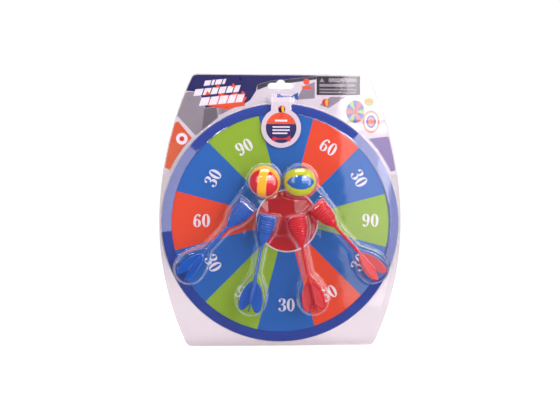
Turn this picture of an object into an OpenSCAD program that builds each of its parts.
// Hook-and-loop dart game in its clear hanging pack.
// The pack hangs from a peg: the origin is the centre of the peg slot, in the plane where the
// two clear shells meet. +Z is up, and the front of the pack looks along -Y.
// Inside are a two-sided round board, four darts and two balls.

/* [Pack] */
// Widest half-width of the pack, level with the board's centre
pack_half_w = 155.5; // [155:0.5:160]
// Height of the pack's top edge above the board's centre
pack_rise = 191; // [188:1:200]
// Depth of the pack's bottom edge below the board's centre
pack_drop = 158; // [157:1:170]
// Radius of the pack's sides above the board's centre
upper_side_r = 450; // [400:5:520]
// Radius of the pack's sides below the board's centre
lower_side_r = 365; // [340:5:420]
// Radius of the pack's four corners
corner_r = 8; // [4:1:12]
// Thickness of the thermoformed sheet
sheet_t = 1; // [0.8:0.1:1]
// Height of the peg slot above the board's centre
slot_rise = 176; // [174:0.5:178]
// Overall width of the peg slot
slot_w = 32; // [28:1:34]
// Height of the peg slot's wings
slot_h = 7; // [6:0.5:8]
// Radius of the bump that centres the pack on its peg
slot_bump_r = 6; // [5:0.5:7]

/* [Front shell] */
// Height of the flat tray in the two lower corners
tray_h = 4.6; // [3:0.2:6]
// Width of the flange round that tray
tray_flange = 6; // [4:0.5:9]
// Height at which the wall round the board starts to slope
wall_h = 7.2; // [7:0.1:8]
// Height of the plateau in front of the board
plateau_h = 14; // [13:0.5:15]
// Radius of the plateau
plateau_r = 139.5; // [136:0.5:141]
// Height of the dart bubbles
dart_bubble_h = 39.5; // [39.5:0.5:42]
// Height of the low bridge that links the bubbles
bridge_h = 25; // [20:1:30]

/* [Board] */
// Radius of the board
board_r = 152.5; // [152:0.1:152.5]
// Thickness of the foam core
core_t = 7; // [6:0.5:7]
// Thickness of the loop fabric on each side
fabric_t = 0.8; // [0.5:0.1:1]
// Thickness of the binding round the edge
binding_t = 1; // [0.8:0.1:1]
// How far the binding reaches over each face
binding_w = 13; // [10:0.5:14]

/* [Card] */
// Thickness of the printed card
card_t = 0.8; // [0.4:0.1:0.8]
// Half-width of the tongue that carries the round label
tongue_half_w = 12.8; // [10:0.2:13]
// Radius of the round label
label_r = 25.5; // [22:0.5:26]
// Height of the round label's centre above the board's centre
label_rise = 121.5; // [120:0.5:122]
// Height of the card's two lower ends above the board's centre
card_end = 62; // [55:1:80]

/* [Darts] */
// Length of a dart
dart_len = 126; // [120:1:127]
// Radius of a dart's head
head_r = 13; // [12:0.1:13]
// Length of a dart's head, behind its hook pad
head_len = 36.4; // [34:0.2:38]
// Radius of a dart's shaft
shaft_r = 2.1; // [1.8:0.1:2.4]
// Number of grip rings on a dart's head
head_rings = 9; // [6:1:10]
// Number of vanes in a flight
vanes = 4; // [3:1:4]
// Distance from the board's mid-plane to a dart's axis
dart_depth = 22; // [22:0.5:22.5]

/* [Balls] */
// Radius of a ball over its hook tape
ball_r = 20; // [19:0.1:20]
// Width of the hook tape
tape_w = 11.4; // [9:0.2:13]
// Half the distance between the two balls
ball_half_gap = 22.4; // [22.2:0.1:24]
// Height of the balls above the board's centre
ball_rise = 52.5; // [51:0.5:54]
// Distance from the board's mid-plane to a ball's centre
ball_depth = 26.5; // [26:0.5:27]

/* [Hidden] */
DART_PIECES = ["hook_pad", "nose_cap", "barrel", "flight"];
BALL_PIECES = ["half_a", "half_b", "tape_loop", "tape_halves"];
$fn = 96;

ACROSS = 400;                      // more than the pack's width, for cutting
slot_bump_rise = 1.5;              // from the slot's middle to the middle of its bump
tray_top = -30;                    // the tray's upper end, hidden in the board's drum
seam_gap = 0.2;                    // between the card and each shell
flange_y = card_t / 2 + seam_gap;  // from the seam plane to each flange
board_gap = 0.7;                   // between the board's edge and the shells
drum_r = board_r + board_gap + sheet_t;
face_r = board_r - binding_t - 0.2;
face_y = core_t / 2 + fabric_t;    // outer surface of each loop face
rim_y = face_y + binding_t;        // outer surface of the binding
loop_t = 1.8;                      // the hanging loop, folded flat
loop_w = 12;
loop_len = 38;
loop_below_edge = 3;
recess_h = rim_y + loop_t + 0.6;   // depth of the back shell's recess, inside
card_inset = 1.5;
card_arch_r = board_r + 0.9;
label_y = rim_y + 1.7;             // from the seam plane to the back of the label
tongue_slit = 0.6;                 // beside the tongue, where it bends out of the card
ramp_top = 161;                    // where the tongue leaves the card
ramp_foot = 154.2;                 // where the tongue levels out
bay_half_w = tongue_half_w + 2.7;
bay_top = 164;
bay_h = 11.5;
ball_bubble_r = ball_r + 2;
bubble_head_w = 17.6;              // half the width of a dart's bubble over its head
bubble_shaft_w = 8.6;              // and over its shaft
bubble_tail_r = 22;                // radius of its round tail end
bubble_tail_u = 110;               // from the dart's nose to the middle of that end
bridge_rise = 20;                  // height of the bridge's middle above the board's centre
bridge_reach = 35;                 // from there to its nearest side
pad_t = 1.6;
cap_t = 1.6;
bell_wall = 1.3;
ring_step = 0.35;                  // how far each grip ring stands out
shaft_fit = 0.05;                  // between the barrel and the flight pushed on to it
spigot_r = shaft_r - 0.4;
flight_start = dart_len - 40;
shaft_end = flight_start + 2;
spigot_end = dart_len - 14;        // end of the spigot that the flight is pushed on to
sleeve_r = 3.2;
sleeve_len = spigot_end - flight_start + 2;
leaf_len = 39.2;                   // a vane is a leaf-shaped ellipse
leaf_w = 15.4;
leaf_out = 6.2;                    // from the dart's axis to the middle of a leaf
leaf_lean = 14;
vane_t = 1.3;
tape_t = 0.9;
ball_core_r = ball_r - tape_t;
ball_wall = 1.2;
ball_fit = 0.05;

// Each dart: nose [x, z] from the board's centre, angle from straight down, roll of its flight
dart_places = [
    [[-42.6, 24], -42.3, -38],
    [[-17.8, 10.4], -11.2, 4],
    [[17.8, 10.4], 11.6, -4],
    [[42.6, 24], 42.3, 38]
];
// Each ball: side of the pack, and how it lies: turned about Z, then Y, then X
ball_places = [
    [-1, -14, 3, 24],
    [1, 0, 90, 50]
];

// ---------- outlines, drawn in the plane of the board ----------

// A list without its first item, which is the last of the arc before
function after_first(list) = [for (i = [1:len(list) - 1]) list[i]];

// Points on an arc in n steps
function arc(centre, r, from, to, n) =
    [for (i = [0:n]) let (a = from + (to - from) * i / n) centre + r * [cos(a), sin(a)]];

// One side of the pack from its top edge to its bottom edge, moved inwards by d.
// Each corner arc is tangent to the side arc and to the straight edge.
function side_points(d) =
    let (
        w = pack_half_w - d,
        up_r = upper_side_r - d,
        low_r = lower_side_r - d,
        rc = max(corner_r - d, 1.5),
        up_c = [w - up_r, 0],
        low_c = [w - low_r, 0],
        up_z = pack_rise - d - rc,
        low_z = -(pack_drop - d - rc),
        up_corner = [up_c[0] + sqrt(pow(up_r - rc, 2) - up_z * up_z), up_z],
        low_corner = [low_c[0] + sqrt(pow(low_r - rc, 2) - low_z * low_z), low_z],
        up_a = asin(up_z / (up_r - rc)),
        low_a = asin(low_z / (low_r - rc))
    )
    concat(
        arc(up_corner, rc, 90, up_a, 4),
        after_first(arc(up_c, up_r, up_a, 0, 8)),
        after_first(arc(low_c, low_r, 0, low_a, 8)),
        after_first(arc(low_corner, rc, low_a, -90, 4))
    );

module pack_outline(d = 0) {
    right = side_points(d);
    last = len(right) - 1;
    polygon(concat(right, [for (i = [0:last]) [-right[last - i][0], right[last - i][1]]]));
}

module peg_slot() {
    translate([0, slot_rise]) {
        square([slot_w - slot_h, slot_h], center = true);
        for (side = [-1, 1]) translate([side * (slot_w - slot_h) / 2, 0]) circle(r = slot_h / 2);
        translate([0, slot_bump_rise]) circle(r = slot_bump_r);
    }
}

// Bubble round a dart: w(u) is half its width, u along the dart from its nose, d the sheet's offset
bubble_stations = [-4, 0, 12, 20, 28, 36, 42, 52, 70, 82, 90, 97, 104, bubble_tail_u];
head_taper = [14, 42];             // where the bubble narrows behind the head
tail_flare = 76;                   // where it starts to widen for the flight
function bubble_w(u) =
    u < head_taper[0] ? bubble_head_w
    : u < head_taper[1] ? bubble_shaft_w + (bubble_head_w - bubble_shaft_w) * taper_share(u)
    : u < tail_flare ? bubble_shaft_w
    : bubble_shaft_w + (bubble_tail_r - bubble_shaft_w)
        * sin(90 * (u - tail_flare) / (bubble_tail_u - tail_flare));
function taper_share(u) = pow(cos(90 * (u - head_taper[0]) / (head_taper[1] - head_taper[0])), 1.3);

module bubble_outline(d) {
    right = concat(
        [for (u = bubble_stations) [max(u, bubble_stations[0] + d), bubble_w(u) - d]],
        [for (a = [75:-15:0]) [bubble_tail_u, 0] + (bubble_tail_r - d) * [cos(a), sin(a)]]
    );
    last = len(right) - 1;
    polygon(concat(right, [for (i = [1:last]) [right[last - i][0], -right[last - i][1]]]));
}

// The low bridge that links the bubbles, as corners about its own middle
bridge_corners = [[-48, 34], [-61, 18], [-50, -10], [-20, -35], [24, -35], [52, -10], [61, 18], [48, 34]];
module bridge_outline(d) {
    translate([0, bridge_rise]) polygon([for (corner = bridge_corners) corner * (1 - d / bridge_reach)]);
}

// ---------- placing ----------

// Stands a drawing up in the plane of the board, extruding forwards from y = -start
module forwards(start, h) {
    translate([0, -start, -slot_rise]) rotate([90, 0, 0]) linear_extrude(h) children();
}

// Turns a solid so that its Z axis points out of the front of the pack, from the seam plane
module facing() {
    translate([0, 0, -slot_rise]) rotate([90, 0, 0]) children();
}

// A dart's own frame: Z runs from nose to tail, X lies across, and -Y faces the front
module dart_frame(n) {
    place = dart_places[n - 1];
    translate([place[0][0], -dart_depth, place[0][1] - slot_rise])
        rotate([0, 180 - place[1], 0]) children();
}

module ball_frame(n) {
    place = ball_places[n - 1];
    translate([place[0] * ball_half_gap, -ball_depth, ball_rise - slot_rise])
        rotate([place[3], 0, 0]) rotate([0, place[2], 0]) rotate(place[1]) children();
}

// ---------- clear shells ----------

// The space in front of the seam plane, moved inwards by d from the shell's outer surface
module front_space(d) {
    forwards(flange_y - d, tray_h + sheet_t - flange_y)
        intersection() {
            pack_outline(tray_flange + d);
            translate([-ACROSS / 2, -ACROSS]) square([ACROSS, ACROSS + tray_top - d]);
        }
    facing() rotate_extrude() polygon([
        [0, flange_y - d], [drum_r - d, flange_y - d], [drum_r - d, wall_h - 0.4 * d],
        [plateau_r - 0.4 * d, plateau_h - d], [0, plateau_h - d]
    ]);
    forwards(flange_y - d, bay_h - flange_y)
        translate([-bay_half_w + d, plateau_r - 10])
            square([2 * (bay_half_w - d), bay_top - d - plateau_r + 10]);
    facing() translate([0, 0, flange_y - d]) linear_extrude(bridge_h - flange_y) bridge_outline(d);
    for (n = [1:4]) front_space_dart(n, d);
    for (side = [-1, 1]) facing() translate([side * ball_half_gap, ball_rise, 0]) {
        translate([0, 0, flange_y - d])
            cylinder(r = ball_bubble_r - d, h = ball_depth - flange_y + d);
        translate([0, 0, ball_depth]) sphere(r = ball_bubble_r - d);
    }
}

module front_space_dart(n, d) {
    place = dart_places[n - 1];
    facing() translate([place[0][0], place[0][1], flange_y - d])
        rotate(place[1] - 90) linear_extrude(dart_bubble_h - flange_y) bubble_outline(d);
}

module front_shell() {
    color("LightCyan", 0.35) difference() {
        union() {
            forwards(flange_y, sheet_t) pack_outline();
            front_space(0);
        }
        front_space(sheet_t);
        forwards(-1, 5) peg_slot();
    }
}

module back_shell() {
    color("LightCyan", 0.35) difference() {
        union() {
            forwards(-flange_y - sheet_t, sheet_t) pack_outline();
            facing() translate([0, 0, -recess_h - sheet_t])
                cylinder(r = drum_r, h = recess_h + sheet_t - flange_y);
        }
        facing() translate([0, 0, -recess_h]) cylinder(r = drum_r - sheet_t, h = recess_h + 1);
        forwards(-5, 5) peg_slot();
    }
}

// ---------- card ----------

// The tongue seen from its side: it bends down from the card and levels out behind the label
module tongue_side() {
    front = -label_y - card_t;
    polygon([
        [-card_t / 2, ramp_top + card_t / 2], [card_t / 2, ramp_top + card_t / 2],
        [card_t / 2, ramp_top], [-label_y, ramp_foot], [-label_y, label_rise],
        [front, label_rise], [front, ramp_foot + card_t / 2], [-card_t / 2, ramp_top]
    ]);
}

module header_card() {
    color("WhiteSmoke") {
        forwards(-card_t / 2, card_t) difference() {
            pack_outline(card_inset);
            translate([-ACROSS / 2, card_end - ACROSS]) square([ACROSS, ACROSS]);
            circle(r = card_arch_r);
            translate([-tongue_half_w - tongue_slit, card_end])
                square([2 * (tongue_half_w + tongue_slit), ramp_top - card_end]);
            peg_slot();
        }
        translate([-tongue_half_w, 0, -slot_rise]) rotate([90, 0, 90])
            linear_extrude(2 * tongue_half_w) tongue_side();
        facing() translate([0, label_rise, label_y]) cylinder(r = label_r, h = card_t);
    }
}

// ---------- board ----------

module board_core() {
    color("Gainsboro") facing() translate([0, 0, -core_t / 2]) cylinder(r = face_r, h = core_t);
}

module loop_face(side) {
    facing() translate([0, 0, side > 0 ? core_t / 2 : -core_t / 2 - fabric_t])
        cylinder(r = face_r, h = fabric_t);
}

module front_loop_face() {
    color("SteelBlue") loop_face(1);
}

module rear_loop_face() {
    color("DarkOrange") loop_face(-1);
}

module rim_binding() {
    inner = board_r - binding_w;
    wall = board_r - binding_t;
    color("MidnightBlue") facing() rotate_extrude() polygon([
        [inner, -rim_y], [board_r, -rim_y], [board_r, rim_y], [inner, rim_y],
        [inner, face_y], [wall, face_y], [wall, -face_y], [inner, -face_y]
    ]);
}

module hanging_loop() {
    top = board_r - loop_below_edge;
    color("MidnightBlue") translate([-loop_w / 2, rim_y, top - loop_len - slot_rise])
        cube([loop_w, loop_t, loop_len]);
}

// ---------- darts ----------

// A point on the head, t from 0 at its mouth to 1 where it meets the shaft, d in from its surface
function head_at(t, d) = [head_r - (head_r - shaft_r - 0.7) * pow(t, 2.6) - d, pad_t + t * head_len];

module dart_hook_pad() {
    color("LightGray") cylinder(r = head_r - 0.5, h = pad_t);
}

module dart_nose_cap() {
    color("White") translate([0, 0, pad_t]) cylinder(r = head_r - 1.85, h = cap_t);
}

// The head is a hollow bell with grip rings, in one piece with the shaft
module dart_barrel() {
    ringed = 0.8;                  // share of the head that carries rings
    rings = [for (i = [0:2 * head_rings - 1])
        head_at(i * ringed / (2 * head_rings), i % 2 == 0 ? 0 : ring_step)];
    tail = [for (t = [ringed, 0.86, 0.92, 0.97, 1]) head_at(t, ring_step)];
    shaft = [
        [shaft_r, pad_t + head_len + 2], [shaft_r, shaft_end], [spigot_r, shaft_end],
        [spigot_r, spigot_end], [0, spigot_end], [0, pad_t + 0.93 * head_len]
    ];
    hollow = [for (t = [0.88:-0.14:0.3]) head_at(t, ring_step + bell_wall)];
    mouth = [[head_r - 1.8, pad_t + 0.2 * head_len], [head_r - 1.8, pad_t]];
    rotate_extrude() polygon(concat(rings, tail, shaft, hollow, mouth));
}

// Each vane is a leaf that leans out from the sleeve
module dart_vane() {
    translate([0, vane_t / 2, flight_start + leaf_len / 2]) rotate([90, 0, 0])
        linear_extrude(vane_t) translate([leaf_out, 0]) rotate(-leaf_lean)
            polygon([for (a = [0:15:345]) [leaf_w * cos(a), leaf_len * sin(a)] / 2]);
}

module dart_flight(roll) {
    difference() {
        union() {
            translate([0, 0, flight_start]) cylinder(r = sleeve_r, h = sleeve_len);
            for (i = [0:vanes - 1]) rotate(roll + i * 360 / vanes) dart_vane();
        }
        translate([0, 0, flight_start - 1]) cylinder(r = shaft_r + shaft_fit, h = 3.1);
        translate([0, 0, flight_start]) cylinder(r = spigot_r + shaft_fit, h = sleeve_len - 1.8);
    }
}

module dart_piece(n, piece) {
    paint = n < 3 ? "RoyalBlue" : "Crimson";
    dart_frame(n) {
        if (piece == "hook_pad") dart_hook_pad();
        if (piece == "nose_cap") dart_nose_cap();
        if (piece == "barrel") color(paint) dart_barrel();
        if (piece == "flight") color(paint) dart_flight(dart_places[n - 1][2]);
    }
}

// ---------- balls ----------

module half_ball(side) {
    intersection() {
        difference() {
            sphere(r = ball_core_r);
            sphere(r = ball_core_r - ball_wall);
        }
        translate([-ball_r, side > 0 ? -2 * ball_r : 0, -ball_r]) cube(2 * ball_r);
    }
}

// Turned so that the poles of its spheres lie clear of the band cut from it
module tape_shell(turn) {
    rotate(turn) difference() {
        sphere(r = ball_r);
        sphere(r = ball_core_r + ball_fit);
    }
}

module slab(size) {
    translate(-size / 2) cube(size);
}

// The whole band lies in the plane X = 0, the two halves in the plane Y = 0
module tape_loop() {
    intersection() {
        tape_shell([0, 90, 0]);
        slab([tape_w, 2 * ball_r + 2, 2 * ball_r + 2]);
    }
}

module tape_halves() {
    difference() {
        intersection() {
            tape_shell([90, 0, 0]);
            slab([2 * ball_r + 2, tape_w, 2 * ball_r + 2]);
        }
        slab([tape_w + 4 * ball_fit, 2 * ball_r + 2, 2 * ball_r + 2]);
    }
}

module ball_piece(n, piece) {
    shell_paint = n == 1 ? "Crimson" : "DodgerBlue";
    tape_paint = n == 1 ? "Gold" : "YellowGreen";
    ball_frame(n) {
        if (piece == "half_a") color(shell_paint) half_ball(1);
        if (piece == "half_b") color(shell_paint) half_ball(-1);
        if (piece == "tape_loop") color(tape_paint) tape_loop();
        if (piece == "tape_halves") color(tape_paint) tape_halves();
    }
}

back_shell();
front_shell();
header_card();
board_core();
front_loop_face();
rear_loop_face();
rim_binding();
hanging_loop();
for (n = [1:4], piece = DART_PIECES)
    dart_piece(n, piece);
for (n = [1:2], piece = BALL_PIECES)
    ball_piece(n, piece);
